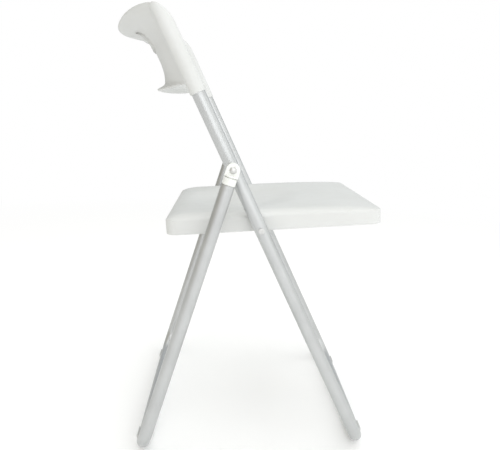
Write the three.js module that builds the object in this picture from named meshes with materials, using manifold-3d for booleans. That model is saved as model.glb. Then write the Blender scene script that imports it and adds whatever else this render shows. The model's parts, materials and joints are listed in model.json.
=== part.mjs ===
// Folding chair: two bent-tube frames that cross at a pair of hinges, a moulded seat that
// tips up between the front tubes, and a moulded backrest sleeved over the front tubes' ends.
// Millimetres, +Z up, +X towards the front, origin on the floor under the middle of the chair.
import * as THREE from 'three';
import { mergeVertices } from 'three/addons/utils/BufferGeometryUtils.js';
import Module from 'manifold-3d';

const wasm = await Module();
wasm.setup();

// Driving dimensions of the two frames
const overallWidth = 450;
const tubeRadius = 11;
const tubeWall = 1.5;
const bendRadius = 40;
const frameGap = 2;
const hingeHeight = 503.5;
const soleThickness = 2.5;
const frontLean = THREE.MathUtils.degToRad(26.15);
const rearLean = THREE.MathUtils.degToRad(16.75);

// Clearances: between pieces that touch, round a pin in its hole, and past the end of a cut
const gap = 0.3;
const pinClearance = 0.3;
const cutOverrun = 2;

// Seat: its plan is measured forwards and backwards from the pivot, its heights from the pivot too
const seatPivotDrop = 110.4;
const seatTilt = THREE.MathUtils.degToRad(4.7);
const seatFrontReach = 206;
const seatRearReach = 158.5;
const seatFrontCorner = 18;
const seatRearCorner = 20;
const bandBottom = -4.7;
const bandTop = 18.3;
const seatWall = 3;
const crownHeight = 10.8;
const sideShoulder = 26;
const rearShoulder = 40;
const frontShoulder = 220;
const dishDepth = 7;
const dishCentre = -25;
const dishHalfLength = 118;
const dishSideMargin = 29.5;
const dishFlatShare = 0.45;
const ribThickness = 2.5;
const ribBottom = 7;
const ribAlongShares = [0.09, 0.325, 0.56, 0.79];
const ribAcrossShares = [-0.35, 0.35];
const lugRadius = 9;
const lugThickness = 6.5;
const lugTop = 16;

// Slide rod under the rear of the seat, its bushes and clips
const rodSpacing = 80.7;
const rodRadius = 4;
const rodEndInset = 5;
const bushWall = 1;
const bushFlangeRadius = 6.5;
const slotClearance = 0.5;
const clipThickness = 1.3;
const clipRadius = 6.5;
const clipGroove = 0.8;
const clipMouth = THREE.MathUtils.degToRad(70);

// Turn of the rear frame for each turn of the seat while the chair folds
const rearPerSeatTurn = 0.37;

// Rivets, washers and spacers
const rivetRadius = 3;
const hingeHeadRadius = 5.5;
const hingeHeadHeight = 3.4;
const formedHeadRadius = 5;
const formedHeadHeight = 1.5;
const pivotHeadRadius = 5;
const pivotHeadHeight = 1.2;
const washerRadius = 8;
const spacerRadius = 8;
const spacerThickness = 3.9;

// Hinge cap on the end of the rear tube, measured down the tube from the hinge
const earRadius = 11;
const earThickness = 16.5;
const earFootDrop = 8;
const grooveDrop = 11.4;
const grooveWidth = 1.4;
const grooveDepth = 1;
const collarDrop = 24.3;
const spigotLength = 22;

// Backrest, measured up the front tube from the hinge (rise) and back from the tube's axis (sweep)
const tubeTopRise = 240;
const sleeveRadius = 13;
const sleeveOverlap = 112;
const sleeveHead = 34;
const sleeveBottomRise = tubeTopRise - sleeveOverlap;
const sleeveTopRise = tubeTopRise + sleeveHead;
const sleeveTopRoundDepth = 24;
const sleeveTopRoundHeight = 42;
const panelThickness = 4.5;
const panelEdgeSweep = 8;
const panelEdgeInset = 4;
const panelSweepPower = 2.2;
const panelLowRisePower = 1.6;
const panelHighRisePower = 6.6;
const panelDepth = 88;
const handHoleInset = 8;
const handHoleHeight = 36;
const handHoleTopRise = sleeveTopRise - handHoleInset;
const handHoleBottomRise = handHoleTopRise - handHoleHeight;
const handHoleWidth = 150;
const handHoleBottomCorner = 9;
const handHoleTopCorner = 14;
const rimWall = 2.5;
const rimInset = 0.5;
const rimReach = 16;
const screwInset = 22;
const screwRise = sleeveBottomRise + screwInset;
const screwRadius = 1.6;
const screwHeadRadius = 3.5;
const screwHeadHeight = 1.8;
const screwLength = 8;

// The panel's profile from its bottom lip to its top lip: the sweep at mid width as a share of the
// panel's depth, and the rises at mid width and at the sleeves as shares of the sleeve's length
const panelProfileShares = [
  { sweep: 0.824, rise: 0.3, sideRise: 0.132 },
  { sweep: 0.631, rise: 0.303, sideRise: 0.156 },
  { sweep: 0.54, rise: 0.401, sideRise: 0.223 },
  { sweep: 0.502, rise: 0.527, sideRise: 0.322 },
  { sweep: 0.498, rise: 0.665, sideRise: 0.473 },
  { sweep: 0.502, rise: 0.775, sideRise: 0.592 },
  { sweep: 0.627, rise: 0.936, sideRise: 0.765 },
  { sweep: 0.876, rise: 1.051, sideRise: 0.858 },
  { sweep: 0.988, rise: 1.107, sideRise: 0.918 },
  { sweep: 1, rise: 1.131, sideRise: 1.016 },
];

// Glides clipped on the floor bars
const glideLength = 24;
const glideSoleWidth = 18;
const glideSoleHeight = 8;
const glideMouth = THREE.MathUtils.degToRad(140);
const glideBendGap = 1;

// Facets
const tubeSegments = 20;
const bendSteps = 7;
const pinSegments = 20;
const domeSteps = 5;
const slotSteps = 14;
const panelColumns = 20;
const panelRows = 14;
const seatColumns = 24;
const seatRows = 20;
const normalProbe = 0.001;

// Places worked out from the sizes above
const footAxisHeight = soleThickness + tubeRadius;
const hingeRise = hingeHeight - footAxisHeight;
const frontBarDrop = hingeRise / Math.cos(frontLean);
const rearBarDrop = hingeRise / Math.cos(rearLean);
const rearHalfWidth = overallWidth / 2 - tubeRadius;
const frontHalfWidth = rearHalfWidth - 2 * tubeRadius - frameGap;
const frontOuterFace = frontHalfWidth + tubeRadius;
const frontInnerFace = frontHalfWidth - tubeRadius;
const rearInnerFace = rearHalfWidth - tubeRadius;
const earInnerFace = rearInnerFace + gap;
const earOuterFace = earInnerFace + earThickness;
const seatHalfWidth = frontInnerFace - spacerThickness - 2 * gap;
const dishHalfWidth = seatHalfWidth - dishSideMargin;
const lugInnerFace = seatHalfWidth - lugThickness;
const rivetBore = rivetRadius + pinClearance;
const rodBore = rodRadius + pinClearance;
const rodEnd = rearHalfWidth - rodEndInset;
const bushRadius = rodBore + bushWall;
const sides = [{ name: 'left', sign: 1 }, { name: 'right', sign: -1 }];

// The fold ends when the slide rod meets the back of the front tubes
const rodStop = tubeRadius + rodRadius + gap;
const seatFoldTurn = Math.acos(rodStop / rodSpacing) - seatTilt + frontLean;

// Materials
const tubeSteel = new THREE.MeshStandardMaterial({ color: 0xb9bdbd, roughness: 0.32, metalness: 0.85 });
const rivetSteel = new THREE.MeshStandardMaterial({ color: 0xc6c8c7, roughness: 0.28, metalness: 0.9 });
const whitePlastic = new THREE.MeshStandardMaterial({ color: 0xeef0ea, roughness: 0.42, metalness: 0 });
const paleNylon = new THREE.MeshStandardMaterial({ color: 0xe4e4de, roughness: 0.5, metalness: 0 });

// A closed three.js geometry as a solid that can be joined and cut
function toSolid(geometry) {
  const bare = geometry.clone();
  bare.deleteAttribute('normal');
  bare.deleteAttribute('uv');
  const merged = mergeVertices(bare);
  return new wasm.Manifold(new wasm.Mesh({
    numProp: 3,
    vertProperties: new Float32Array(merged.attributes.position.array),
    triVerts: new Uint32Array(merged.index.array),
  }));
}

function toGeometry(solid) {
  const mesh = solid.getMesh();
  const geometry = new THREE.BufferGeometry();
  geometry.setAttribute('position', new THREE.BufferAttribute(new Float32Array(mesh.vertProperties), 3));
  geometry.setIndex(new THREE.BufferAttribute(new Uint32Array(mesh.triVerts), 1));
  geometry.computeVertexNormals();
  return geometry;
}

function addPart(group, name, solid, material) {
  const part = new THREE.Mesh(toGeometry(solid), material.clone());
  part.name = name;
  group.add(part);
}

const joined = (...solids) => solids.reduce((whole, solid) => whole.add(solid));

// A round pin, disc or bore across the chair, between two places along Y
function crossPin(radius, from, to, x = 0, z = 0) {
  const pin = new THREE.CylinderGeometry(radius, radius, Math.abs(to - from), pinSegments);
  pin.translate(x, (from + to) / 2, z);
  return toSolid(pin);
}

// A domed rivet head that stands on a face across Y and rises outwards
function domedHead(radius, height, face, sign) {
  const profile = [new THREE.Vector2(0, 0)];
  for (let step = 0; step < domeSteps; step++) {
    const lift = step / domeSteps * Math.PI / 2;
    profile.push(new THREE.Vector2(radius * Math.cos(lift), height * Math.sin(lift)));
  }
  profile.push(new THREE.Vector2(0, height));
  const dome = new THREE.LatheGeometry(profile, pinSegments);
  if (sign < 0) dome.rotateX(Math.PI);
  dome.translate(0, face, 0);
  return toSolid(dome);
}

// A round post or bore along Z
function post(radius, bottom, top, y) {
  const body = new THREE.CylinderGeometry(radius, radius, top - bottom, tubeSegments);
  body.rotateX(Math.PI / 2);
  body.translate(0, y, (bottom + top) / 2);
  return toSolid(body);
}

function block(low, high) {
  const size = new THREE.Vector3().subVectors(high, low);
  const centre = new THREE.Vector3().addVectors(low, high).divideScalar(2);
  const body = new THREE.BoxGeometry(size.x, size.y, size.z);
  body.translate(centre.x, centre.y, centre.z);
  return toSolid(body);
}

// An outline drawn in X and Z, with its thickness along Y
function crossPlate(shape, from, to) {
  const plate = new THREE.ExtrudeGeometry(shape, {
    depth: Math.abs(to - from),
    bevelEnabled: false,
    curveSegments: pinSegments,
  });
  plate.rotateX(Math.PI / 2);
  plate.translate(0, Math.max(from, to), 0);
  return toSolid(plate);
}

// Centreline of a U-shaped frame in the YZ plane: down one leg, round a bend, along the floor bar,
// round the second bend and up. It has stations only where the tube starts, bends and ends.
class FramePath extends THREE.Curve {
  constructor(halfWidth, top, bottom) {
    super();
    this.stations = [];
    this.addStation(-halfWidth, top, 0);
    for (const corner of [0, 1]) {
      const centreY = (2 * corner - 1) * (halfWidth - bendRadius);
      for (let step = 0; step <= bendSteps; step++) {
        const turn = (corner + step / bendSteps) * Math.PI / 2;
        const y = centreY - bendRadius * Math.cos(turn);
        const z = bottom + bendRadius * (1 - Math.sin(turn));
        this.addStation(y, z, turn);
      }
    }
    this.addStation(halfWidth, top, Math.PI);
  }

  addStation(y, z, turn) {
    const point = new THREE.Vector3(0, y, z);
    const tangent = new THREE.Vector3(0, Math.sin(turn), -Math.cos(turn));
    this.stations.push({ point, tangent });
  }

  get steps() {
    return this.stations.length - 1;
  }

  getSpacedPoints() {
    return this.stations.map((station) => station.point.clone());
  }

  getPointAt(share) {
    return this.stations[Math.round(share * this.steps)].point.clone();
  }

  getTangentAt(share) {
    return this.stations[Math.round(share * this.steps)].tangent.clone();
  }
}

function frameTube(halfWidth, top, bottom) {
  const path = new FramePath(halfWidth, top, bottom);
  const section = new THREE.Shape().absarc(0, 0, tubeRadius, 0, 2 * Math.PI);
  section.holes.push(new THREE.Path().absarc(0, 0, tubeRadius - tubeWall, 0, 2 * Math.PI));
  return toSolid(new THREE.ExtrudeGeometry(section, {
    steps: path.steps,
    extrudePath: path,
    bevelEnabled: false,
    curveSegments: tubeSegments / 2,
  }));
}

// Where the slide rod stands in the rear frame's own axes once the seat has turned by an angle
function rodInRearFrame(seatTurn) {
  const heading = Math.PI + seatTilt - frontLean + seatTurn;
  const across = rodSpacing * Math.cos(heading);
  const along = rodSpacing * Math.sin(heading) - seatPivotDrop;
  const rearFromFront = rearPerSeatTurn * seatTurn - frontLean - rearLean;
  return new THREE.Vector2(across, along).rotateAround(new THREE.Vector2(), -rearFromFront);
}

// Outline of the slot: both sides of the rod's route, closed by a round end at each end
function slotShape(radius) {
  const route = [];
  for (let step = 0; step <= slotSteps; step++) {
    route.push(rodInRearFrame(seatFoldTurn * step / slotSteps));
  }
  const heading = (index) => {
    const before = route[Math.max(index - 1, 0)];
    const after = route[Math.min(index + 1, slotSteps)];
    return Math.atan2(after.y - before.y, after.x - before.x);
  };
  const beside = (index, side) => {
    const bearing = heading(index) + side * Math.PI / 2;
    return [route[index].x + radius * Math.cos(bearing), route[index].y + radius * Math.sin(bearing)];
  };
  const shape = new THREE.Shape();
  shape.moveTo(...beside(0, -1));
  for (let index = 1; index < slotSteps; index++) shape.lineTo(...beside(index, -1));
  const last = heading(slotSteps);
  const end = route[slotSteps];
  shape.absarc(end.x, end.y, radius, last - Math.PI / 2, last + Math.PI / 2);
  for (let index = slotSteps - 1; index > 0; index--) shape.lineTo(...beside(index, 1));
  const first = heading(0);
  shape.absarc(route[0].x, route[0].y, radius, first + Math.PI / 2, first + 3 * Math.PI / 2);
  return shape;
}

// Front frame: the U of tube that carries the backrest, drilled for the hinge and pivot rivets
function frontTube() {
  let tube = frameTube(frontHalfWidth, tubeTopRise, -frontBarDrop);
  for (const { sign } of sides) {
    const from = sign * (frontInnerFace - cutOverrun);
    const to = sign * (frontOuterFace + cutOverrun);
    tube = tube.subtract(crossPin(rivetBore, from, to));
    tube = tube.subtract(crossPin(rivetBore, from, to, 0, -seatPivotDrop));
    tube = tube.subtract(crossPin(screwRadius + pinClearance, from, sign * frontHalfWidth, 0, screwRise));
  }
  return tube;
}

// Rear frame: the wider U, with a slot for the slide rod in the inner wall of each leg
function rearTube() {
  let tube = frameTube(rearHalfWidth, -collarDrop - gap, -rearBarDrop);
  const slot = slotShape(bushRadius + slotClearance);
  for (const { sign } of sides) {
    tube = tube.subtract(crossPlate(slot, sign * (rearInnerFace - cutOverrun), sign * rearHalfWidth));
  }
  return tube;
}

// Hinge cap: a spigot in the rear tube, a round collar, a groove, and the ear that the hinge turns in
function hingeCap(sign) {
  const y = sign * rearHalfWidth;
  const spigotRadius = tubeRadius - tubeWall - gap;
  const spigot = post(spigotRadius, -collarDrop - spigotLength, -collarDrop, y);
  const collar = post(tubeRadius, -collarDrop, -grooveDrop - grooveWidth, y);
  const neck = post(tubeRadius - grooveDepth, -grooveDrop - grooveWidth, -grooveDrop, y);
  const earFoot = post(tubeRadius, -grooveDrop, -earFootDrop, y);
  const outline = new THREE.Shape();
  outline.moveTo(-earRadius, -grooveDrop);
  outline.lineTo(earRadius, -grooveDrop);
  outline.absarc(0, 0, earRadius, 0, Math.PI);
  const ear = crossPlate(outline, sign * earInnerFace, sign * earOuterFace);
  const bore = crossPin(rivetBore, sign * (earInnerFace - cutOverrun), sign * (earOuterFace + cutOverrun));
  return joined(spigot, collar, neck, earFoot, ear).subtract(bore);
}

function hingeRivet(sign) {
  const headFace = sign * (earOuterFace + gap);
  const formedFace = sign * (frontInnerFace - gap);
  const shank = crossPin(rivetRadius, formedFace, headFace);
  const head = domedHead(hingeHeadRadius, hingeHeadHeight, headFace, sign);
  const formed = crossPin(formedHeadRadius, formedFace, formedFace - sign * formedHeadHeight);
  return joined(shank, head, formed);
}

function pivotRivet(sign) {
  const headFace = sign * (frontOuterFace + gap);
  const formedFace = sign * (lugInnerFace - gap);
  const shank = crossPin(rivetRadius, formedFace, headFace);
  const head = crossPin(pivotHeadRadius, headFace, headFace + sign * pivotHeadHeight);
  const formed = crossPin(formedHeadRadius, formedFace, formedFace - sign * formedHeadHeight);
  return joined(shank, head, formed);
}

// A flat ring across Y: washer or spacer
function ring(radius, bore, from, to) {
  const sense = Math.sign(to - from);
  const hole = crossPin(bore, from - sense * cutOverrun, to + sense * cutOverrun);
  return crossPin(radius, from, to).subtract(hole);
}

// The backrest panel's middle surface. Across runs from -1 to 1, from sleeve to sleeve, and
// up from 0 to 1, from the bottom lip to the top lip.
const riseAt = (share) => THREE.MathUtils.lerp(sleeveBottomRise, sleeveTopRise, share);
const panelCurve = new THREE.CatmullRomCurve3(panelProfileShares.map(
  ({ sweep, rise, sideRise }) => new THREE.Vector3(sweep * panelDepth, riseAt(rise), riseAt(sideRise)),
));
function panelPoint(across, up) {
  const middle = panelCurve.getPoint(up);
  const risePower = THREE.MathUtils.lerp(panelLowRisePower, panelHighRisePower, up);
  const sweep = THREE.MathUtils.lerp(middle.x, panelEdgeSweep, Math.abs(across) ** panelSweepPower);
  const rise = THREE.MathUtils.lerp(middle.y, middle.z, Math.abs(across) ** risePower);
  return new THREE.Vector3(-sweep, across * (frontHalfWidth - panelEdgeInset), rise);
}

function panelNormal(across, up) {
  const low = Math.max(up - normalProbe, 0);
  const high = Math.min(up + normalProbe, 1);
  const alongUp = panelPoint(across, high).sub(panelPoint(across, low));
  const alongAcross = panelPoint(across + normalProbe, up).sub(panelPoint(across - normalProbe, up));
  return alongAcross.cross(alongUp).normalize();
}

// A layer of the panel between two depths, measured forwards from its middle surface
function panelLayer(rearDepth, frontDepth) {
  const panel = new THREE.BoxGeometry(2, 1, 1, panelColumns, panelRows, 1);
  const places = panel.attributes.position;
  for (let index = 0; index < places.count; index++) {
    const across = Math.sin(places.getX(index) * Math.PI / 2);
    const up = places.getY(index) + 1 / 2;
    const depth = THREE.MathUtils.lerp(rearDepth, frontDepth, places.getZ(index) + 1 / 2);
    const place = panelPoint(across, up).addScaledVector(panelNormal(across, up), depth);
    places.setXYZ(index, place.x, place.y, place.z);
  }
  return toSolid(panel);
}

// A rectangle with round corners, between two places along its first axis and even about its second
function roundedPlan(low, high, half, lowRound, highRound) {
  const plan = new THREE.Shape();
  plan.absarc(high - highRound, half - highRound, highRound, 0, Math.PI / 2);
  plan.absarc(low + lowRound, half - lowRound, lowRound, Math.PI / 2, Math.PI);
  plan.absarc(low + lowRound, lowRound - half, lowRound, Math.PI, 3 * Math.PI / 2);
  plan.absarc(high - highRound, highRound - half, highRound, 3 * Math.PI / 2, 2 * Math.PI);
  return plan;
}

// The hand hole's prism through the panel, grown by a margin
function handHole(margin) {
  const plan = roundedPlan(
    handHoleBottomRise - margin,
    handHoleTopRise + margin,
    handHoleWidth / 2 + margin,
    handHoleBottomCorner + margin,
    handHoleTopCorner + margin,
  );
  const hole = new THREE.ExtrudeGeometry(plan, {
    depth: panelDepth + panelThickness,
    bevelEnabled: false,
    curveSegments: pinSegments / 4,
  });
  hole.rotateY(-Math.PI / 2);
  return toSolid(hole);
}

// A rim round the hand hole. Its rear lies just inside the panel's rear at mid width, so it stands
// out at the ends of the hole, where the panel curves forwards.
function handHoleRim() {
  const outline = new THREE.Shape();
  outline.moveTo(0, sleeveBottomRise);
  for (let row = 0; row <= panelRows; row++) {
    const up = row / panelRows;
    const place = panelPoint(0, up).addScaledVector(panelNormal(0, up), rimInset - panelThickness / 2);
    outline.lineTo(place.x, place.z);
  }
  outline.lineTo(0, sleeveTopRise);
  const wall = crossPlate(outline, -handHoleWidth, handHoleWidth).intersect(handHole(rimWall));
  return wall.intersect(panelLayer(-rimReach, 0));
}

// Backrest: a saddle-shaped panel between two sleeves that are slipped over the tubes
function backrest() {
  const panel = panelLayer(-panelThickness / 2, panelThickness / 2);
  let shell = panel.add(handHoleRim()).subtract(handHole(0));
  const outline = new THREE.Shape();
  outline.moveTo(-sleeveRadius, sleeveBottomRise);
  outline.lineTo(sleeveRadius, sleeveBottomRise);
  const roundX = sleeveRadius - sleeveTopRoundDepth;
  const roundZ = sleeveTopRise - sleeveTopRoundHeight;
  outline.absellipse(roundX, roundZ, sleeveTopRoundDepth, sleeveTopRoundHeight, 0, Math.PI / 2);
  outline.lineTo(-sleeveRadius, sleeveTopRise);
  for (const { sign } of sides) {
    const y = sign * frontHalfWidth;
    const inner = y - sleeveRadius - cutOverrun;
    const outer = y + sleeveRadius + cutOverrun;
    const sleeve = post(sleeveRadius, sleeveBottomRise, sleeveTopRise, y);
    shell = shell.add(sleeve.intersect(crossPlate(outline, inner, outer)));
  }
  for (const { sign } of sides) {
    const y = sign * frontHalfWidth;
    shell = shell.subtract(post(tubeRadius + gap, sleeveBottomRise - cutOverrun, tubeTopRise + gap, y));
    const from = sign * (frontHalfWidth - sleeveRadius - cutOverrun);
    shell = shell.subtract(crossPin(screwRadius + pinClearance, from, y, 0, screwRise));
  }
  return shell;
}

function backrestScrew(sign) {
  const headFace = sign * (frontHalfWidth - sleeveRadius - gap);
  const head = crossPin(screwHeadRadius, headFace - sign * screwHeadHeight, headFace, 0, screwRise);
  const shank = crossPin(screwRadius, headFace, headFace + sign * screwLength, 0, screwRise);
  return head.add(shank);
}

// Height of the seat's top above its pivot: a crown that rises from the band, and a dish in it
function seatTop(x, y) {
  const shoulder = (share) => Math.sqrt(1 - (1 - THREE.MathUtils.clamp(share, 0, 1)) ** 2);
  const side = shoulder((seatHalfWidth - Math.abs(y)) / sideShoulder);
  const rear = shoulder((x + seatRearReach) / rearShoulder);
  const front = shoulder((seatFrontReach - x) / frontShoulder);
  const reach = Math.hypot((x - dishCentre) / dishHalfLength, y / dishHalfWidth);
  const dish = dishDepth * (1 - THREE.MathUtils.smoothstep(reach, dishFlatShare, 1));
  return bandTop + crownHeight * side * rear * front - dish;
}

// The seat's plan, drawn in by an inset
function seatPlan(inset) {
  return roundedPlan(
    inset - seatRearReach,
    seatFrontReach - inset,
    seatHalfWidth - inset,
    seatRearCorner - inset,
    seatFrontCorner - inset,
  );
}

// A block under the seat's top surface. Its grid is drawn closer towards the edges, where it bends.
function seatBlock(inset, bottom) {
  const body = new THREE.BoxGeometry(2, 2, 2, seatColumns, seatRows, 1);
  const centre = (seatFrontReach - seatRearReach) / 2;
  const halfLength = (seatFrontReach + seatRearReach) / 2;
  const places = body.attributes.position;
  for (let index = 0; index < places.count; index++) {
    const x = centre + halfLength * Math.sin(places.getX(index) * Math.PI / 2);
    const y = seatHalfWidth * Math.sin(places.getY(index) * Math.PI / 2);
    const z = places.getZ(index) > 0 ? seatTop(x, y) - inset : bottom;
    places.setXYZ(index, x, y, z);
  }
  const height = bandTop + crownHeight + 2 * cutOverrun - bottom;
  const prism = new THREE.ExtrudeGeometry(seatPlan(inset), {
    depth: height,
    bevelEnabled: false,
    curveSegments: pinSegments / 4,
  });
  prism.translate(0, 0, bottom - cutOverrun);
  return toSolid(body).intersect(toSolid(prism));
}

function seatShell() {
  const outer = seatBlock(0, bandBottom);
  let shell = outer.subtract(seatBlock(seatWall, bandBottom - cutOverrun));
  const front = seatFrontReach - seatWall / 2;
  const rear = seatWall / 2 - seatRearReach;
  const half = seatHalfWidth - seatWall / 2;
  const top = bandTop + crownHeight;
  const rib = (lowX, highX, lowY, highY) => outer.intersect(
    block(new THREE.Vector3(lowX, lowY, ribBottom), new THREE.Vector3(highX, highY, top)),
  );
  for (const share of ribAlongShares) {
    const x = THREE.MathUtils.lerp(-seatRearReach, seatFrontReach, share);
    shell = shell.add(rib(x - ribThickness / 2, x + ribThickness / 2, -half, half));
  }
  for (const share of ribAcrossShares) {
    const y = share * seatHalfWidth;
    shell = shell.add(rib(rear, front, y - ribThickness / 2, y + ribThickness / 2));
  }
  for (const { sign } of sides) {
    const innerFace = sign * lugInnerFace;
    const outerFace = sign * seatHalfWidth;
    for (const x of [0, -rodSpacing]) {
      const low = new THREE.Vector3(x - lugRadius, Math.min(innerFace, outerFace), 0);
      const high = new THREE.Vector3(x + lugRadius, Math.max(innerFace, outerFace), lugTop);
      shell = joined(shell, crossPin(lugRadius, innerFace, outerFace, x), block(low, high));
    }
    const from = sign * (lugInnerFace - cutOverrun);
    const to = sign * (seatHalfWidth + cutOverrun);
    shell = shell.subtract(crossPin(rivetBore, from, to));
    shell = shell.subtract(crossPin(rodBore, from, to, -rodSpacing));
  }
  return shell;
}

// The slide rod, with a groove near each end for its clip
const clipOuterFace = lugInnerFace - gap;
const clipInnerFace = clipOuterFace - clipThickness;
function slideRod() {
  let rod = crossPin(rodRadius, -rodEnd, rodEnd, -rodSpacing);
  for (const { sign } of sides) {
    const from = sign * (clipInnerFace - gap);
    const to = sign * (clipOuterFace + gap);
    const sleeve = crossPin(rodRadius + cutOverrun, from, to, -rodSpacing);
    rod = rod.subtract(sleeve.subtract(crossPin(rodRadius - clipGroove, from, to, -rodSpacing)));
  }
  return rod;
}

function rodClip(sign) {
  const inner = rodRadius - clipGroove + gap;
  const outline = new THREE.Shape();
  const start = -Math.PI / 2 + clipMouth / 2;
  const end = 3 * Math.PI / 2 - clipMouth / 2;
  outline.absarc(-rodSpacing, 0, clipRadius, start, end);
  outline.absarc(-rodSpacing, 0, inner, end, start, true);
  return crossPlate(outline, sign * clipInnerFace, sign * clipOuterFace);
}

function slotBush(sign) {
  const flangeFrom = sign * (frontOuterFace + gap);
  const flangeTo = sign * (rearInnerFace - gap);
  const end = sign * rodEnd;
  const flange = crossPin(bushFlangeRadius, flangeFrom, flangeTo, -rodSpacing);
  const body = crossPin(bushRadius, flangeFrom, end, -rodSpacing);
  const bore = crossPin(rodBore, flangeFrom - sign * cutOverrun, end + sign * cutOverrun, -rodSpacing);
  return flange.add(body).subtract(bore);
}

// A glide: a clip round the floor bar, open at the top, on a flat sole
function glide(halfWidth, sign) {
  const outer = sign * (halfWidth - bendRadius - glideBendGap);
  const inner = outer - sign * glideLength;
  const start = -Math.PI / 2 - Math.PI + glideMouth / 2;
  const end = Math.PI / 2 - glideMouth / 2;
  const outline = new THREE.Shape();
  outline.absarc(0, 0, tubeRadius + soleThickness, start, end);
  outline.absarc(0, 0, tubeRadius + gap, end, start, true);
  const clip = crossPlate(outline, inner, outer);
  const soleTop = glideSoleHeight - footAxisHeight;
  const low = new THREE.Vector3(-glideSoleWidth / 2, Math.min(inner, outer), -footAxisHeight);
  const high = new THREE.Vector3(glideSoleWidth / 2, Math.max(inner, outer), soleTop);
  const bore = crossPin(tubeRadius + gap, inner - sign * cutOverrun, outer + sign * cutOverrun);
  return clip.add(block(low, high)).subtract(bore);
}

// Assembly. Each frame has its own axes at the hinge, with Z up its tubes, and the seat has its
// own axes at its pivot.
const chair = new THREE.Group();
const frontFrame = new THREE.Group();
frontFrame.position.z = hingeHeight;
frontFrame.rotation.y = -frontLean;
const rearFrame = new THREE.Group();
rearFrame.position.z = hingeHeight;
rearFrame.rotation.y = rearLean;
const seat = new THREE.Group();
seat.position.x = seatPivotDrop * Math.sin(frontLean);
seat.position.z = hingeHeight - seatPivotDrop * Math.cos(frontLean);
seat.rotation.y = -seatTilt;
const pivotFittings = new THREE.Group();
pivotFittings.position.z = -seatPivotDrop;
frontFrame.add(pivotFittings);
const frontFoot = new THREE.Group();
frontFoot.position.set(hingeRise * Math.tan(frontLean), 0, footAxisHeight);
const rearFoot = new THREE.Group();
rearFoot.position.set(-hingeRise * Math.tan(rearLean), 0, footAxisHeight);
chair.add(frontFrame, rearFrame, seat, frontFoot, rearFoot);

addPart(frontFrame, 'front_frame', frontTube(), tubeSteel);
addPart(frontFrame, 'backrest', backrest(), whitePlastic);
addPart(rearFrame, 'rear_frame', rearTube(), tubeSteel);
addPart(seat, 'seat', seatShell(), whitePlastic);
addPart(seat, 'slide_rod', slideRod(), rivetSteel);
for (const { name, sign } of sides) {
  addPart(frontFrame, `backrest_screw_${name}`, backrestScrew(sign), rivetSteel);
  addPart(frontFrame, `hinge_rivet_${name}`, hingeRivet(sign), rivetSteel);
  const washer = ring(washerRadius, rivetBore, sign * (frontOuterFace + gap), sign * (earInnerFace - gap));
  addPart(frontFrame, `hinge_washer_${name}`, washer, paleNylon);
  addPart(pivotFittings, `seat_rivet_${name}`, pivotRivet(sign), rivetSteel);
  const spacer = ring(spacerRadius, rivetBore, sign * (seatHalfWidth + gap), sign * (frontInnerFace - gap));
  addPart(pivotFittings, `seat_spacer_${name}`, spacer, paleNylon);
  addPart(rearFrame, `hinge_cap_${name}`, hingeCap(sign), whitePlastic);
  addPart(seat, `slot_bush_${name}`, slotBush(sign), paleNylon);
  addPart(seat, `rod_clip_${name}`, rodClip(sign), rivetSteel);
  addPart(frontFoot, `front_glide_${name}`, glide(frontHalfWidth, sign), whitePlastic);
  addPart(rearFoot, `rear_glide_${name}`, glide(rearHalfWidth, sign), whitePlastic);
}

// The origin lies under the middle of the chair's length
const bounds = new THREE.Box3().setFromObject(chair, true);
chair.position.x = -(bounds.min.x + bounds.max.x) / 2;

export default chair;
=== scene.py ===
# %% [markdown]
# # A folding chair of bent tube and moulded plastic
#
# The chair has two U-shaped frames of steel tube that cross at a pair of hinges, a seat that tips
# up between the front tubes, and a saddle-shaped backrest whose sleeves are slipped over the ends
# of the front tubes. This lesson makes each of those pieces at its real size around a frame that
# already knows where every piece goes. Sizes are in millimetres, as on a workshop drawing, and each
# finished mesh is turned to metres as it is put in its place.

# %% Load the frame
import json
import math

import bmesh
import bpy
import numpy as np
from mathutils import Matrix, Vector


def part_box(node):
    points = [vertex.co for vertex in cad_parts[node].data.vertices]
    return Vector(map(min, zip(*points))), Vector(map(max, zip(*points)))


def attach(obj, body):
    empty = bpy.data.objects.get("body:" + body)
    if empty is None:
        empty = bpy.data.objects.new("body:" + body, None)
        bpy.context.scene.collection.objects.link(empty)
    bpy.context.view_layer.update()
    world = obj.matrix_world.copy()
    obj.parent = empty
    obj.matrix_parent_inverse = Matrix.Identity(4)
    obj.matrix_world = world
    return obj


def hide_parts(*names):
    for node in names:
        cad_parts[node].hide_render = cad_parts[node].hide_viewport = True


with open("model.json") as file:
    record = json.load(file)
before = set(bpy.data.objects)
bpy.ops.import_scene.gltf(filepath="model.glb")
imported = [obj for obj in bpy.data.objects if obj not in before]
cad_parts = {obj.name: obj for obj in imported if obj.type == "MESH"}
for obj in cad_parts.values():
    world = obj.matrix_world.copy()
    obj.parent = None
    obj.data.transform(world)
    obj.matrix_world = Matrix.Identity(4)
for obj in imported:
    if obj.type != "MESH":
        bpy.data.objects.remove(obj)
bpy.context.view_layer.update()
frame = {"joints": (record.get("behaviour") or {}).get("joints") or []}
MM = 0.001
joints = {joint["name"]: joint for joint in frame["joints"]}
hinge_place = Vector(joints["rear_fold"]["pos_m"])
pivot_place = Vector(joints["seat_fold"]["pos_m"])
print("hinge at", tuple(hinge_place), "and seat pivot at", tuple(pivot_place))

# %% [markdown]
# ## Where the pieces go
#
# Each carrier, such as the front frame, has its own axes, and its pieces are drawn along those
# axes, where every tube stands upright. The lean of the front tubes is the direction from the
# hinge to the seat pivot, and the lean of the rear tubes is the direction from the hinge to the
# rear glides, so neither angle has to be typed in. One matrix per carrier then turns, scales and
# moves a finished mesh into the chair.

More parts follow.
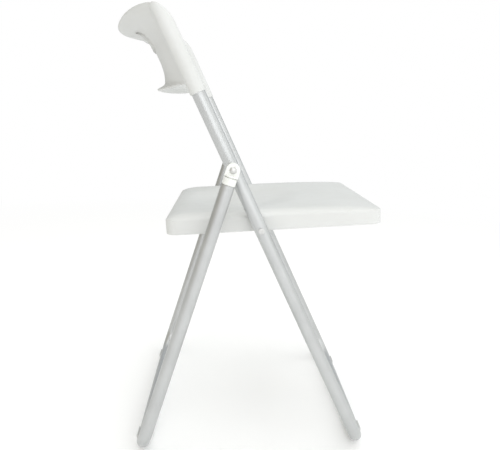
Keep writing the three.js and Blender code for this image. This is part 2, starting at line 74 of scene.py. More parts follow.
# %% Sizes of the frames and the axes of each carrier
tube_radius = 11
tube_wall = 1.5
bend_radius = 40
frame_gap = 2
sole_thickness = 2.5
seat_tilt = math.radians(4.7)
gap = 0.3
cut_overrun = 2

overall_half_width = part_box("rear_frame")[1].y / MM
rear_half_width = overall_half_width - tube_radius
front_half_width = rear_half_width - 2 * tube_radius - frame_gap
foot_axis_height = sole_thickness + tube_radius
hinge_height = hinge_place.z / MM
hinge_rise = hinge_height - foot_axis_height


def foot_x(node):
    low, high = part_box(node)
    return (low.x + high.x) / 2 / MM


front_foot_x = foot_x("front_glide_left")
rear_foot_x = foot_x("rear_glide_left")
pivot_offset = (pivot_place - hinge_place) / MM
seat_pivot_drop = math.hypot(pivot_offset.x, pivot_offset.z)
front_lean = math.atan2(pivot_offset.x, -pivot_offset.z)
rear_lean = math.atan2(hinge_place.x / MM - rear_foot_x, hinge_rise)


def carrier_axes(place, lean):
    """From millimetres along a carrier's own axes to metres in the chair's."""
    return Matrix.Translation(place) @ Matrix.Rotation(lean, 4, "Y") @ Matrix.Scale(MM, 4)


front_axes = carrier_axes(hinge_place, -front_lean)
rear_axes = carrier_axes(hinge_place, rear_lean)
seat_axes = carrier_axes(pivot_place, -seat_tilt)
front_foot_axes = carrier_axes(Vector((front_foot_x, 0, foot_axis_height)) * MM, 0)
rear_foot_axes = carrier_axes(Vector((rear_foot_x, 0, foot_axis_height)) * MM, 0)
print("front tubes lean", round(math.degrees(front_lean), 2), "degrees")
print("rear tubes lean", round(math.degrees(rear_lean), 2), "degrees")

# %% [markdown]
# ## The camera
#
# The chair is seen from the sitter's right-hand side, from a little above the seat, with the camera
# turned a few degrees towards the front. The three angles below build the camera's own axes
# directly: where it looks, which way is right, and which way is down after the small roll. Blender's
# camera looks along its own -Z axis, so the columns of its matrix are right, up and backwards.

# %% Camera
camera_place = Vector((-0.03111, -1.02773, 0.59307))
camera_yaw = math.radians(2.72)
camera_pitch = math.radians(-12.22)
camera_roll = math.radians(-1.96)
camera_lens = 37.86
camera_sensor = 36
half_pixel_share = 0.001


def camera_matrix(place, yaw, pitch, roll):
    forward = Vector((math.sin(yaw) * math.cos(pitch), math.cos(yaw) * math.cos(pitch), math.sin(pitch)))
    level = Vector((math.cos(yaw), -math.sin(yaw), 0))
    down = forward.cross(level)
    right = math.cos(roll) * level + math.sin(roll) * down
    below = math.cos(roll) * down - math.sin(roll) * level
    turned = Matrix((right, -below, -forward)).transposed().to_4x4()
    return Matrix.Translation(place) @ turned


camera_data = bpy.data.cameras.new("camera")
camera_data.lens = camera_lens
camera_data.sensor_width = camera_sensor
camera_data.sensor_fit = "HORIZONTAL"
camera_data.shift_x = -half_pixel_share
camera_data.shift_y = half_pixel_share
camera = bpy.data.objects.new("camera", camera_data)
camera.matrix_world = camera_matrix(camera_place, camera_yaw, camera_pitch, camera_roll)
bpy.context.scene.collection.objects.link(camera)
bpy.context.scene.camera = camera
print("camera at", tuple(round(v, 3) for v in camera_place), "with a lens of", camera_lens, "mm")

# %% [markdown]
# ## Materials
#
# A material is a small graph of nodes. Each one here starts from a Principled shader, and the same
# three things are added to it: a slow change of tone, a finer change of roughness, and a bump for
# the texture that the process leaves. Patterns are measured in metres on Object coordinates, so
# they stay on the piece when it moves. A helper makes nodes and links in one call, which keeps each
# recipe short enough to read as a recipe.

# %% Material helpers
def new_material(name):
    material = bpy.data.materials.new(name)
    material.use_nodes = True
    material.node_tree.nodes.clear()
    return material


def set_input(tree, socket, value):
    """Links a socket to the input, or sets the input's own value."""
    if isinstance(value, bpy.types.NodeSocket):
        tree.links.new(value, socket)
    else:
        socket.default_value = value


def add_node(tree, kind, settings=None, **inputs):
    """Adds a node, sets its properties, and gives each named input a value or a link."""
    node = tree.nodes.new(kind)
    for key, value in (settings or {}).items():
        setattr(node, key, value)
    for key, value in inputs.items():
        set_input(tree, node.inputs[key.replace("_", " ")], value)
    return node


def add_in_order(tree, kind, values, operation=None):
    """Adds a node and fills its inputs in their order, for inputs that share a name."""
    node = add_node(tree, kind, {"operation": operation} if operation else None)
    for socket, value in zip(node.inputs, values):
        set_input(tree, socket, value)
    return node


def noise(tree, vector, scale, detail=3.0, roughness=0.5):
    return add_node(tree, "ShaderNodeTexNoise", Vector=vector, Scale=scale, Detail=detail,
                    Roughness=roughness).outputs["Fac"]


def ranged(tree, value, low, high, start=0.0, stop=1.0):
    return add_node(tree, "ShaderNodeMapRange", Value=value, From_Min=start, From_Max=stop,
                    To_Min=low, To_Max=high).outputs["Result"]


def mixed_colour(tree, share, first, second):
    node = add_node(tree, "ShaderNodeMix", {"data_type": "RGBA"}, Factor=share)
    sockets = [socket for socket in node.inputs if socket.type == "RGBA"]
    for socket, colour in zip(sockets, (first, second)):
        set_input(tree, socket, colour if isinstance(colour, bpy.types.NodeSocket) else (*colour, 1))
    return [socket for socket in node.outputs if socket.type == "RGBA"][0]


def object_coordinates(tree):
    return add_node(tree, "ShaderNodeTexCoord").outputs["Object"]


def surfaced(material, colour, sheen, height, bump_height, **inputs):
    """Ends a material with a Principled shader and a bump whose height is in metres."""
    tree = material.node_tree
    bump = add_node(tree, "ShaderNodeBump", Strength=1.0, Distance=bump_height, Height=height)
    shader = add_node(tree, "ShaderNodeBsdfPrincipled", Base_Color=colour, Roughness=sheen,
                      Normal=bump.outputs["Normal"], **inputs)
    add_node(tree, "ShaderNodeOutputMaterial", Surface=shader.outputs["BSDF"])
    return material


# %% [markdown]
# Moulded plastic is never quite one colour: the skin is a little thicker here and thinner there, and
# the tool's etched grain catches the light. Two colours a hair apart, mixed by slow noise, and a
# grain about half a millimetre wide do it. The bump's height is set in metres, so it stays as
# shallow as the real grain.

# %% Moulded plastic
ripple_per_grain = 1.6


def moulded_plastic(name, light, dark, roughness, grain_scale, grain_height):
    material = new_material(name)
    tree = material.node_tree
    place = object_coordinates(tree)
    tone = ranged(tree, noise(tree, place, 9.0, 4.0), 0.0, 1.0, 0.35, 0.65)
    colour = mixed_colour(tree, tone, light, dark)
    sheen = ranged(tree, noise(tree, place, 60.0, 5.0), roughness - 0.04, roughness + 0.05, 0.3, 0.7)
    grain = noise(tree, place, grain_scale, 2.0)
    ripple = noise(tree, place, 45.0, 2.0)
    height = add_in_order(tree, "ShaderNodeMath", (ripple, ripple_per_grain, grain), "MULTIPLY_ADD")
    return surfaced(material, colour, sheen, height.outputs["Value"], grain_height, IOR=1.49)


cap_plastic = moulded_plastic("cap_plastic", (0.84, 0.85, 0.83), (0.81, 0.82, 0.79), 0.4, 1600.0, 0.00002)
white_plastic = moulded_plastic("white_plastic", (0.665, 0.672, 0.66), (0.635, 0.642, 0.625), 0.46,
                                1600.0, 0.00003)
pale_nylon = moulded_plastic("pale_nylon", (0.68, 0.68, 0.63), (0.63, 0.63, 0.58), 0.5, 2400.0, 0.00002)

# %% [markdown]
# Drawn steel tube carries faint lines along its length from the die. The frame's tubes bend, so the
# lines can't follow straight axes: they read an attribute of the tube itself, its place before it
# was bent, with the length squeezed so that noise turns into streaks. Small fittings have no such
# lines, and get fine tumbling marks instead.

# %% Steel
streak_squeeze = 0.015


def tube_steel_material(name):
    material = new_material(name)
    tree = material.node_tree
    straight = add_node(tree, "ShaderNodeAttribute", {"attribute_name": "straight_place"})
    squeezed = add_node(tree, "ShaderNodeMapping", Vector=straight.outputs["Vector"],
                        Scale=(1, 1, streak_squeeze))
    streaks = noise(tree, squeezed.outputs["Vector"], 1500.0, 4.0, 0.6)
    cloud = noise(tree, object_coordinates(tree), 22.0, 4.0)
    tone = ranged(tree, cloud, 0.0, 1.0, 0.3, 0.7)
    base = mixed_colour(tree, tone, (0.56, 0.57, 0.57), (0.51, 0.52, 0.52))
    lined = mixed_colour(tree, ranged(tree, streaks, 0.0, 0.3, 0.45, 0.75), base, (0.63, 0.64, 0.635))
    sheen = ranged(tree, streaks, 0.38, 0.47, 0.3, 0.7)
    return surfaced(material, lined, sheen, streaks, 0.000004, Metallic=0.8)


def fitting_steel_material(name):
    material = new_material(name)
    tree = material.node_tree
    place = object_coordinates(tree)
    marks = noise(tree, place, 1800.0, 5.0, 0.65)
    tone = ranged(tree, noise(tree, place, 160.0, 3.0), 0.0, 1.0, 0.3, 0.7)
    colour = mixed_colour(tree, tone, (0.66, 0.66, 0.65), (0.57, 0.57, 0.56))
    sheen = ranged(tree, marks, 0.38, 0.52, 0.3, 0.7)
    return surfaced(material, colour, sheen, marks, 0.00001, Metallic=0.9)


tube_steel = tube_steel_material("tube_steel")
fitting_steel = fitting_steel_material("fitting_steel")
print("materials:", [material.name for material in bpy.data.materials])

# %% [markdown]
# ## Mesh helpers
#
# Most pieces are turned, extruded or lofted, so three small helpers cover them: one that joins
# rings of points into a skin, one that turns a profile about the cross axis, and one that gives an
# outline a thickness. All of them close their ends, because a closed mesh is what a cut or a union
# needs. The cuts are made with the Boolean modifier, and its result is taken as a plain mesh at
# once, so no piece carries a stack of modifiers about.

# %% Objects, booleans and finishing
def new_object(name, vertices, faces, edges=()):
    mesh = bpy.data.meshes.new(name)
    mesh.from_pydata([tuple(vertex) for vertex in vertices], edges, [tuple(face) for face in faces])
    mesh.validate()
    piece = bpy.data.objects.new(name, mesh)
    bpy.context.scene.collection.objects.link(piece)
    return piece


def face_outwards(piece, merge=0.0):
    body = bmesh.new()
    body.from_mesh(piece.data)
    if merge:
        bmesh.ops.remove_doubles(body, verts=body.verts, dist=merge)
    bmesh.ops.recalc_face_normals(body, faces=body.faces)
    body.to_mesh(piece.data)
    body.free()
    return piece


def bake(piece):
    """Turns what the modifiers show into the piece's own mesh."""
    graph = bpy.context.evaluated_depsgraph_get()
    made = bpy.data.meshes.new_from_object(piece.evaluated_get(graph))
    piece.modifiers.clear()
    piece.data = made
    return piece


def boolean(piece, tool, operation):
    step = piece.modifiers.new("boolean", "BOOLEAN")
    step.operation = operation
    step.solver = "EXACT"
    step.object = tool
    bake(piece)
    bpy.data.objects.remove(tool)
    return piece


hard_edge_angle = math.radians(35)
sharp_angle = math.radians(38)


def bevelled(piece, width, segments=2):
    step = piece.modifiers.new("bevel", "BEVEL")
    step.width = width
    step.segments = segments
    step.limit_method = "ANGLE"
    step.angle_limit = hard_edge_angle
    step.use_clamp_overlap = True
    return bake(piece)


def finish_piece(piece, axes, material, body, nodes):
    """Puts a finished mesh in its place, smooths it, and hands it to the frame."""
    piece.data.transform(axes)
    piece.data.materials.clear()
    piece.data.materials.append(material)
    piece.data.shade_smooth()
    piece.data.set_sharp_from_angle(angle=sharp_angle)
    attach(piece, body)
    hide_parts(*nodes)
    print(piece.name, len(piece.data.polygons), "faces on", body)
    return piece


def both(node):
    return [f"{node}_left", f"{node}_right"]


# %% Rings, turned profiles and plates
def strip_faces(rows, count, closed=False):
    """The four-sided faces between rings of equally many points, and back to the first if closed."""
    return [(row * count + index, row * count + (index + 1) % count,
             (row + 1) % rows * count + (index + 1) % count, (row + 1) % rows * count + index)
            for row in range(rows if closed else rows - 1) for index in range(count)]


def skin(name, rings):
    """Joins closed rings of equally many points, and closes the first and last with a fan."""
    count = len(rings[0])
    vertices = [point for ring_points in rings for point in ring_points]
    faces = strip_faces(len(rings), count)
    for row in (0, len(rings) - 1):
        vertices.append(np.mean(np.array(rings[row], float), axis=0))
        faces += [(row * count + index, row * count + (index + 1) % count, len(vertices) - 1)
                  for index in range(count)]
    return face_outwards(new_object(name, vertices, faces))


def circle(radius, place, segments=48):
    angles = np.linspace(0, 2 * math.pi, segments, endpoint=False)
    return [(radius * math.cos(a), place, radius * math.sin(a)) for a in angles]


def turned(name, profile, segments=48):
    """Turns (radius, place) points about the Y axis. A radius of zero isn't needed at the ends."""
    return skin(name, [circle(radius, place, segments) for radius, place in profile])


def pin(radius, start, stop, x=0.0, z=0.0, segments=48):
    piece = turned("pin", [(radius, start), (radius, stop)], segments)
    piece.data.transform(Matrix.Translation((x, 0, z)))
    return piece


def prism(name, near, far):
    """A solid between two copies of one outline."""
    count = len(near)
    faces = strip_faces(2, count) + [tuple(range(count)), tuple(range(count, 2 * count))]
    return face_outwards(new_object(name, near + far, faces))


def plate(name, outline, start, stop):
    """An outline of (x, z) points with its thickness along Y."""
    return prism(name, [(x, start, z) for x, z in outline], [(x, stop, z) for x, z in outline])


def rectangle(low_x, low_z, high_x, high_z):
    return [(low_x, low_z), (high_x, low_z), (high_x, high_z), (low_x, high_z)]


def arc(centre_x, centre_z, radius, start, stop, steps):
    angles = np.linspace(start, stop, steps + 1)
    return [(centre_x + radius * math.cos(a), centre_z + radius * math.sin(a)) for a in angles]


def open_ring(outer_radius, inner_radius, start, stop, steps):
    """The section of a ring with a mouth, about the middle of what it clips on."""
    return arc(0, 0, outer_radius, start, stop, steps) + arc(0, 0, inner_radius, stop, start, steps)


# %% [markdown]
# ## A tree that sweeps a tube
#
# The frames are tubes of one section along a line with round corners, and that is a rule, so
# Geometry Nodes make them. The input is a bare line of four corner points. Fillet Curve rounds its
# corners to the bending tool's radius, and Curve to Mesh sweeps a circle along it. Both the place
# on the circle and the length along the line are stored on the way, because the steel's drawn
# lines need to know where each point was before the tube was bent.

# %% Tube tree
def new_tree(name, sockets):
    tree = bpy.data.node_groups.new(name, "GeometryNodeTree")
    tree.interface.new_socket("Geometry", in_out="INPUT", socket_type="NodeSocketGeometry")
    tree.interface.new_socket("Geometry", in_out="OUTPUT", socket_type="NodeSocketGeometry")
    for label, kind in sockets:
        tree.interface.new_socket(label, in_out="INPUT", socket_type=kind)
    given = tree.nodes.new("NodeGroupInput").outputs
    result = tree.nodes.new("NodeGroupOutput").inputs["Geometry"]
    return tree, given, result


def end_tree(tree, geometry, material, result):
    """Makes the instances real and sets the material, because an export drops instances."""
    real = add_node(tree, "GeometryNodeRealizeInstances", Geometry=geometry)
    dressed = add_node(tree, "GeometryNodeSetMaterial", Geometry=real.outputs["Geometry"], Material=material)
    tree.links.new(dressed.outputs["Geometry"], result)
    return tree


def store(tree, geometry, name, kind, value):
    """Stores a value at each point of a curve under a name."""
    return add_node(tree, "GeometryNodeStoreNamedAttribute", {"data_type": kind, "domain": "POINT"},
                    Geometry=geometry, Name=name, Value=value).outputs["Geometry"]


def tube_tree():
    tree, given, result = new_tree("swept_tube", [
        ("Tube radius", "NodeSocketFloat"),
        ("Bend radius", "NodeSocketFloat"),
        ("Bend steps", "NodeSocketInt"),
        ("Sides", "NodeSocketInt"),
        ("Material", "NodeSocketMaterial"),
    ])
    line = add_node(tree, "GeometryNodeMeshToCurve", Mesh=given["Geometry"])
    bent = add_node(tree, "GeometryNodeFilletCurve", {"mode": "POLY"}, Curve=line.outputs["Curve"],
                    Radius=given["Bend radius"], Count=given["Bend steps"])
    length = add_node(tree, "GeometryNodeSplineParameter").outputs["Length"]
    path = store(tree, bent.outputs["Curve"], "along", "FLOAT", length)
    circle_line = add_node(tree, "GeometryNodeCurvePrimitiveCircle", Resolution=given["Sides"],
                           Radius=given["Tube radius"])
    place = add_node(tree, "GeometryNodeInputPosition").outputs["Position"]
    section = store(tree, circle_line.outputs["Curve"], "around", "FLOAT_VECTOR", place)
    swept = add_node(tree, "GeometryNodeCurveToMesh", Curve=path, Profile_Curve=section, Fill_Caps=True)
    return end_tree(tree, swept.outputs["Mesh"], given["Material"], result)


def run_tree(piece, tree, **values):
    """Runs a tree on a piece and keeps its result as a plain mesh."""
    step = piece.modifiers.new(tree.name, "NODES")
    step.node_group = tree
    for socket in tree.interface.items_tree:
        key = getattr(socket, "name", "").lower().replace(" ", "_")
        if getattr(socket, "in_out", "") == "INPUT" and key in values:
            step[socket.identifier] = values[key]
    return bake(piece)


swept_tube = tube_tree()

# %% [markdown]
# ## The front and rear frames
#
# Each frame is one length of tube, bent twice into a U whose bottom lies on the floor. The outside
# is swept first, then the bore and the holes for the rivets are cut away, which leaves a wall that
# is really 1.5 mm thick at every open end. A shallow ring is pressed into each front leg round the
# seat's rivet. The rear legs have a slot in their inner wall, in which the rod under the seat slides
# as the chair folds.

# %% Frame tubes
bend_steps = 18
tube_sides = 48
hole_clearance = 0.3
rivet_radius = 3
tube_top_rise = 240
collar_drop = 24.3
screw_rise = 150
screw_radius = 1.6
seat_ring_radius = 5.9
seat_ring_depth = 0.8
weld_distance = 0.001
front_outer_face = front_half_width + tube_radius
front_inner_face = front_half_width - tube_radius
rear_inner_face = rear_half_width - tube_radius
rivet_bore = rivet_radius + hole_clearance
front_bar_drop = hinge_rise / math.cos(front_lean)
rear_bar_drop = hinge_rise / math.cos(rear_lean)


def u_tube(name, half_width, top, bottom, radius):
    corners = [(0, -half_width, top), (0, -half_width, bottom), (0, half_width, bottom), (0, half_width, top)]
    piece = new_object(name, corners, [], [(0, 1), (1, 2), (2, 3)])
    run_tree(piece, swept_tube, tube_radius=radius, bend_radius=bend_radius, bend_steps=bend_steps,
             sides=tube_sides, material=tube_steel)
    return face_outwards(piece, merge=weld_distance)


def store_straight_place(piece):
    """Joins the stored circle and length into one place, in metres, on a tube that isn't bent."""
    mesh = piece.data
    count = len(mesh.vertices)
    around = np.zeros(count * 3, np.float32)
    along = np.zeros(count, np.float32)
    mesh.attributes["around"].data.foreach_get("vector", around)
    mesh.attributes["along"].data.foreach_get("value", along)
    straight = around.reshape(-1, 3).copy()
    straight[:, 2] = along
    place = mesh.attributes.new("straight_place", "FLOAT_VECTOR", "POINT")
    place.data.foreach_set("vector", (straight * MM).ravel())
    for spare in ("around", "along"):
        mesh.attributes.remove(mesh.attributes[spare])
    return piece


def frame_tube(name, half_width, top, bottom, cutters):
    piece = u_tube(name, half_width, top, bottom, tube_radius)
    bore = u_tube("bore", half_width, top + cut_overrun, bottom, tube_radius - tube_wall)
    boolean(piece, bore, "DIFFERENCE")
    for cutter in cutters:
        boolean(piece, cutter, "DIFFERENCE")
    return store_straight_place(piece)


front_cutters = []
for side in (1, -1):
    low = side * (front_inner_face - cut_overrun)
    high = side * (front_outer_face + cut_overrun)
    ring_floor = side * (front_outer_face - seat_ring_depth)
    front_cutters += [
        pin(rivet_bore, low, high),
        pin(rivet_bore, low, high, z=-seat_pivot_drop),
        pin(seat_ring_radius, ring_floor, high, z=-seat_pivot_drop),
        pin(screw_radius + hole_clearance, low, side * front_half_width, z=screw_rise),
    ]
front_tube = frame_tube("front_tube", front_half_width, tube_top_rise, -front_bar_drop, front_cutters)
finish_piece(front_tube, front_axes, tube_steel, "front_frame", ["front_frame"])

# %% [markdown]
# The slot follows the route of the rod. As the seat turns by an angle the rear frame turns by a
# steady share of it, so the rod's place in the rear frame's own axes can be worked out for each
# angle, and the slot is that route drawn with the width of the bush. It ends where the rod meets
# the back of the front tube.

# %% Slot for the slide rod
rod_spacing = 80.7
rod_radius = 4
bush_wall = 1
bush_radius = rod_radius + hole_clearance + bush_wall
slot_clearance = 0.5
rear_per_seat_turn = 0.37
slot_steps = 36
slot_end_steps = 12
rod_stop = tube_radius + rod_radius + gap
seat_fold_turn = math.acos(rod_stop / rod_spacing) - seat_tilt + front_lean
print("the seat folds through", round(math.degrees(seat_fold_turn), 1), "degrees")


def rod_in_rear_frame(seat_turn):
    heading = math.pi + seat_tilt - front_lean + seat_turn
    across = rod_spacing * math.cos(heading)
    up = rod_spacing * math.sin(heading) - seat_pivot_drop
    turn = front_lean + rear_lean - rear_per_seat_turn * seat_turn
    return (across * math.cos(turn) - up * math.sin(turn), across * math.sin(turn) + up * math.cos(turn))


def slot_outline(radius):
    turns = np.linspace(0, seat_fold_turn, slot_steps + 1)
    route = np.array([rod_in_rear_frame(turn) for turn in turns])
    heading = np.gradient(route, axis=0)
    bearing = np.arctan2(heading[:, 1], heading[:, 0])
    beside = [route + radius * np.stack([np.cos(bearing + turn), np.sin(bearing + turn)], axis=1)
              for turn in (-math.pi / 2, math.pi / 2)]
    last, first = bearing[-1], bearing[0]
    outline = [tuple(point) for point in beside[0][:-1]]
    outline += arc(*route[-1], radius, last - math.pi / 2, last + math.pi / 2, slot_end_steps)
    outline += [tuple(point) for point in beside[1][-2:0:-1]]
    outline += arc(*route[0], radius, first + math.pi / 2, first + 3 * math.pi / 2, slot_end_steps)[:-1]
    return outline


rear_cutters = [
    plate("slot", slot_outline(bush_radius + slot_clearance), side * (rear_inner_face - cut_overrun),
          side * rear_half_width)
    for side in (1, -1)
]
rear_tube = frame_tube("rear_tube", rear_half_width, -collar_drop - gap, -rear_bar_drop, rear_cutters)
finish_piece(rear_tube, rear_axes, tube_steel, "rear_frame", ["rear_frame"])

# %% [markdown]
# ## A tree that sets a pair of fittings
#
# Every fitting comes twice, once on each side of the chair, and the right one is the left one
# turned half round. So a fitting is drawn once, as a pattern beside its tube, and a small tree
# puts it on two points across the chair. The instances are made real before the material is set,
# because an export knows nothing of instances.

# %% Pair tree
def pair_tree():
    tree, given, result = new_tree("pair_across", [
        ("Pattern", "NodeSocketObject"),
        ("Half spread", "NodeSocketFloat"),
        ("Material", "NodeSocketMaterial"),
    ])
    start = add_node(tree, "ShaderNodeCombineXYZ", Y=given["Half spread"])
    spread = add_in_order(tree, "ShaderNodeMath", (given["Half spread"], -2.0), "MULTIPLY")
    step = add_node(tree, "ShaderNodeCombineXYZ", Y=spread.outputs["Value"])
    line = add_node(tree, "GeometryNodeMeshLine", Count=2, Start_Location=start.outputs["Vector"],
                    Offset=step.outputs["Vector"])
    index = add_node(tree, "GeometryNodeInputIndex").outputs["Index"]
    half_turn = add_in_order(tree, "ShaderNodeMath", (index, math.pi), "MULTIPLY")
    turn = add_node(tree, "ShaderNodeCombineXYZ", Z=half_turn.outputs["Value"])
    pattern = add_node(tree, "GeometryNodeObjectInfo", Object=given["Pattern"])
    copies = add_node(tree, "GeometryNodeInstanceOnPoints", Points=line.outputs["Mesh"],
                      Instance=pattern.outputs["Geometry"], Rotation=turn.outputs["Vector"])
    return end_tree(tree, copies.outputs["Instances"], given["Material"], result)


pair_across = pair_tree()


def pair(name, pattern, half_spread):
    piece = new_object(name, [], [])
    run_tree(piece, pair_across, pattern=pattern, half_spread=half_spread, material=fitting_steel)
    bpy.data.objects.remove(pattern)
    return piece


# %% [markdown]
# ## Rivets, washers and spacers
#
# A rivet is a turned part: a domed head outside, a shank through both pieces that it joins, and a
# flat head formed inside. The seat's rivets have a low head with an upright edge instead of a dome.
# A profile is a list of radius and place, with the dome as a quarter of an ellipse. Washers and
# spacers are rings with chamfered outer edges, turned as a closed loop of corners. All of them are
# drawn from the plane through the middle of the front tube.

# %% Turned fittings
ear_thickness = 16.5
ear_inner_face = rear_inner_face + gap
ear_outer_face = ear_inner_face + ear_thickness
hinge_head_radius = 5.5
hinge_head_height = 3.4
formed_head_radius = 5
formed_head_height = 1.5
pivot_head_radius = 5
pivot_head_height = 1.2
pivot_head_edge = 0.9
washer_radius = 8
spacer_radius = 8
spacer_thickness = 3.9
chamfer = 0.25
pole_share = 0.02
seat_half_width = front_inner_face - spacer_thickness - 2 * gap
lug_thickness = 6.5
lug_inner_face = seat_half_width - lug_thickness


def dome(radius, height, face, steps=10):
    angles = np.linspace(0, math.pi / 2, steps, endpoint=False)
    curve = [(radius * math.cos(a), face + height * math.sin(a)) for a in angles]
    return curve + [(pole_share * radius, face + height)]


def formed_head(face):
    return [(formed_head_radius - chamfer, face - formed_head_height),
            (formed_head_radius, face - formed_head_height + chamfer),
            (formed_head_radius, face)]


def ring(radius, bore, start, stop):
    """A washer or spacer: a closed loop of chamfered corners turned about Y."""
    loop = [(bore, start), (radius - chamfer, start), (radius, start + chamfer),
            (radius, stop - chamfer), (radius - chamfer, stop), (bore, stop)]
    rings = [circle(corner, place) for corner, place in loop]
    vertices = [point for ring_points in rings for point in ring_points]
    return face_outwards(new_object("ring", vertices, strip_faces(len(loop), len(rings[0]), closed=True)))


def from_tube(face):
    """A place across the chair, counted from the middle of the front tube."""
    return face - front_half_width


def rivet(name, grip_start, grip_stop, outer_head):
    profile = formed_head(grip_start) + [(rivet_radius, grip_start), (rivet_radius, grip_stop)]
    return pair(name, turned("rivet", profile + outer_head), front_half_width)


hinge_face = from_tube(ear_outer_face + gap)
hinge_head = dome(hinge_head_radius, hinge_head_height, hinge_face)
hinge_rivets = rivet("hinge_rivets", from_tube(front_inner_face - gap), hinge_face, hinge_head)
finish_piece(hinge_rivets, front_axes, fitting_steel, "front_frame", both("hinge_rivet"))

pivot_axes = front_axes @ Matrix.Translation((0, 0, -seat_pivot_drop))
pivot_face = from_tube(front_outer_face + gap)
pivot_head = [(pivot_head_radius, pivot_face)]
pivot_head += dome(pivot_head_radius, pivot_head_height - pivot_head_edge, pivot_face + pivot_head_edge)
seat_rivets = rivet("seat_rivets", from_tube(lug_inner_face - gap), pivot_face, pivot_head)
finish_piece(seat_rivets, pivot_axes, fitting_steel, "front_frame", both("seat_rivet"))

washer = ring(washer_radius, rivet_bore, from_tube(front_outer_face + gap), from_tube(ear_inner_face - gap))
hinge_washers = pair("hinge_washers", washer, front_half_width)
finish_piece(hinge_washers, front_axes, pale_nylon, "front_frame", both("hinge_washer"))

spacer = ring(spacer_radius, rivet_bore, from_tube(seat_half_width + gap), from_tube(front_inner_face - gap))
seat_spacers = pair("seat_spacers", spacer, front_half_width)
finish_piece(seat_spacers, pivot_axes, pale_nylon, "front_frame", both("seat_spacer"))

# %% [markdown]
# ## Hinge caps
#
# A moulded cap closes the top of each rear tube and ends in an ear that the hinge rivet passes through. The
# round part, with its spigot, collar and thin groove, is turned with small rounds on its outer corners, and
# the ear is an extruded outline whose edges get a small round. They are joined and then drilled.

# %% Hinge caps
ear_radius = 11
ear_foot_drop = 8
groove_drop = 11.4
groove_width = 1.4
groove_depth = 2.6
spigot_length = 22
cap_round = 0.7
spigot_chamfer = 1
cap_segments = 56
ear_steps = 32
cap_round_steps = 3


def hinge_cap():
    spigot_radius = tube_radius - tube_wall - gap
    spigot_end = collar_drop + spigot_length
    neck_radius = tube_radius - groove_depth
    edge_radius = tube_radius - cap_round / 2
    groove_foot = groove_drop + groove_width
    profile = [
        (spigot_radius - spigot_chamfer, spigot_end), (spigot_radius, spigot_end - spigot_chamfer),
        (spigot_radius, collar_drop), (tube_radius - cap_round, collar_drop),
        (tube_radius, collar_drop - cap_round), (tube_radius, groove_foot + cap_round / 2),
        (edge_radius, groove_foot), (neck_radius, groove_foot),
        (neck_radius, groove_drop), (edge_radius, groove_drop),
        (tube_radius, groove_drop - cap_round / 2), (tube_radius, ear_foot_drop + cap_round),
        (tube_radius - cap_round, ear_foot_drop),
    ]
    stem = turned("stem", profile, cap_segments)
    stem.data.transform(Matrix.Rotation(-math.pi / 2, 4, "X"))
    outline = [(-ear_radius, -groove_drop - cap_round), (ear_radius, -groove_drop - cap_round)]
    outline += arc(0, 0, ear_radius, 0, math.pi, ear_steps)
    inner, outer = ear_inner_face - rear_half_width, ear_outer_face - rear_half_width
    ear = bevelled(plate("ear", outline, inner, outer), cap_round, cap_round_steps)
    reach = ear_radius + cut_overrun
    foot = plate("foot", rectangle(-reach, -collar_drop, reach, -groove_drop), inner - cut_overrun,
                 outer + cut_overrun)
    boolean(ear, foot, "DIFFERENCE")
    cap = boolean(stem, ear, "UNION")
    return boolean(cap, pin(rivet_bore, inner - cut_overrun, outer + cut_overrun), "DIFFERENCE")


hinge_caps = pair("hinge_caps", hinge_cap(), rear_half_width)
finish_piece(hinge_caps, rear_axes, cap_plastic, "rear_frame", both("hinge_cap"))

# %% [markdown]
# ## The backrest
#
# The backrest is one moulding: a saddle that bows backwards between two sleeves. Its profile in
# the middle of the chair is a smooth curve through ten points, each with how far back it lies and
# how high, and a second height for where that line meets the sleeves. Across the chair the curve
# flattens out towards the sleeves by a power law. The panel and the sleeves are remeshed with small
# voxels and smoothed, each by itself, which gives their edges the soft rounds of a real moulding.
# The rim is joined on and the hole, the bores and the screw holes are cut as crisp shapes.

# %% Backrest profile
sleeve_radius = 13
sleeve_bottom_rise = 128
sleeve_top_rise = 274
sleeve_top_round_depth = 24
sleeve_top_round_height = 42
panel_thickness = 4.5
panel_edge_sweep = 8
panel_edge_inset = 4
panel_sweep_power = 2.2
panel_low_rise_power = 1.6
panel_high_rise_power = 6.6
panel_depth = 88
panel_profile_shares = np.array([
    (0.824, 0.3, 0.132), (0.631, 0.303, 0.156), (0.54, 0.401, 0.223), (0.502, 0.527, 0.322),
    (0.498, 0.665, 0.473), (0.502, 0.775, 0.592), (0.627, 0.936, 0.765), (0.876, 1.051, 0.858),
    (0.988, 1.107, 0.918), (1, 1.131, 1.016),
])
sleeve_length = sleeve_top_rise - sleeve_bottom_rise
panel_profile = panel_profile_shares * (panel_depth, sleeve_length, sleeve_length)
panel_profile[:, 1:] += sleeve_bottom_rise
print("panel profile from", panel_profile[0, 1], "to", round(panel_profile[-1, 1], 1), "mm up the tube")


def smooth_curve(points, share):
    """A centripetal Catmull-Rom curve through the points, at a share of its run."""
    place = share * (len(points) - 1)
    index = min(int(place), len(points) - 2)
    weight = place - index
    before = points[index - 1] if index > 0 else 2 * points[0] - points[1]
    after = points[index + 2] if index + 2 < len(points) else 2 * points[-1] - points[-2]
    run = [before, points[index], points[index + 1], after]
    steps = [np.linalg.norm(run[k + 1] - run[k]) ** 0.5 for k in range(3)]
    slopes = []
    for k in (1, 2):
        slope = (run[k] - run[k - 1]) / steps[k - 1] - (run[k + 1] - run[k - 1]) / (steps[k - 1] + steps[k])
        slopes.append((slope + (run[k + 1] - run[k]) / steps[k]) * steps[1])
    rise = run[2] - run[1]
    return (run[1] + slopes[0] * weight + (3 * rise - 2 * slopes[0] - slopes[1]) * weight ** 2
            + (slopes[0] + slopes[1] - 2 * rise) * weight ** 3)


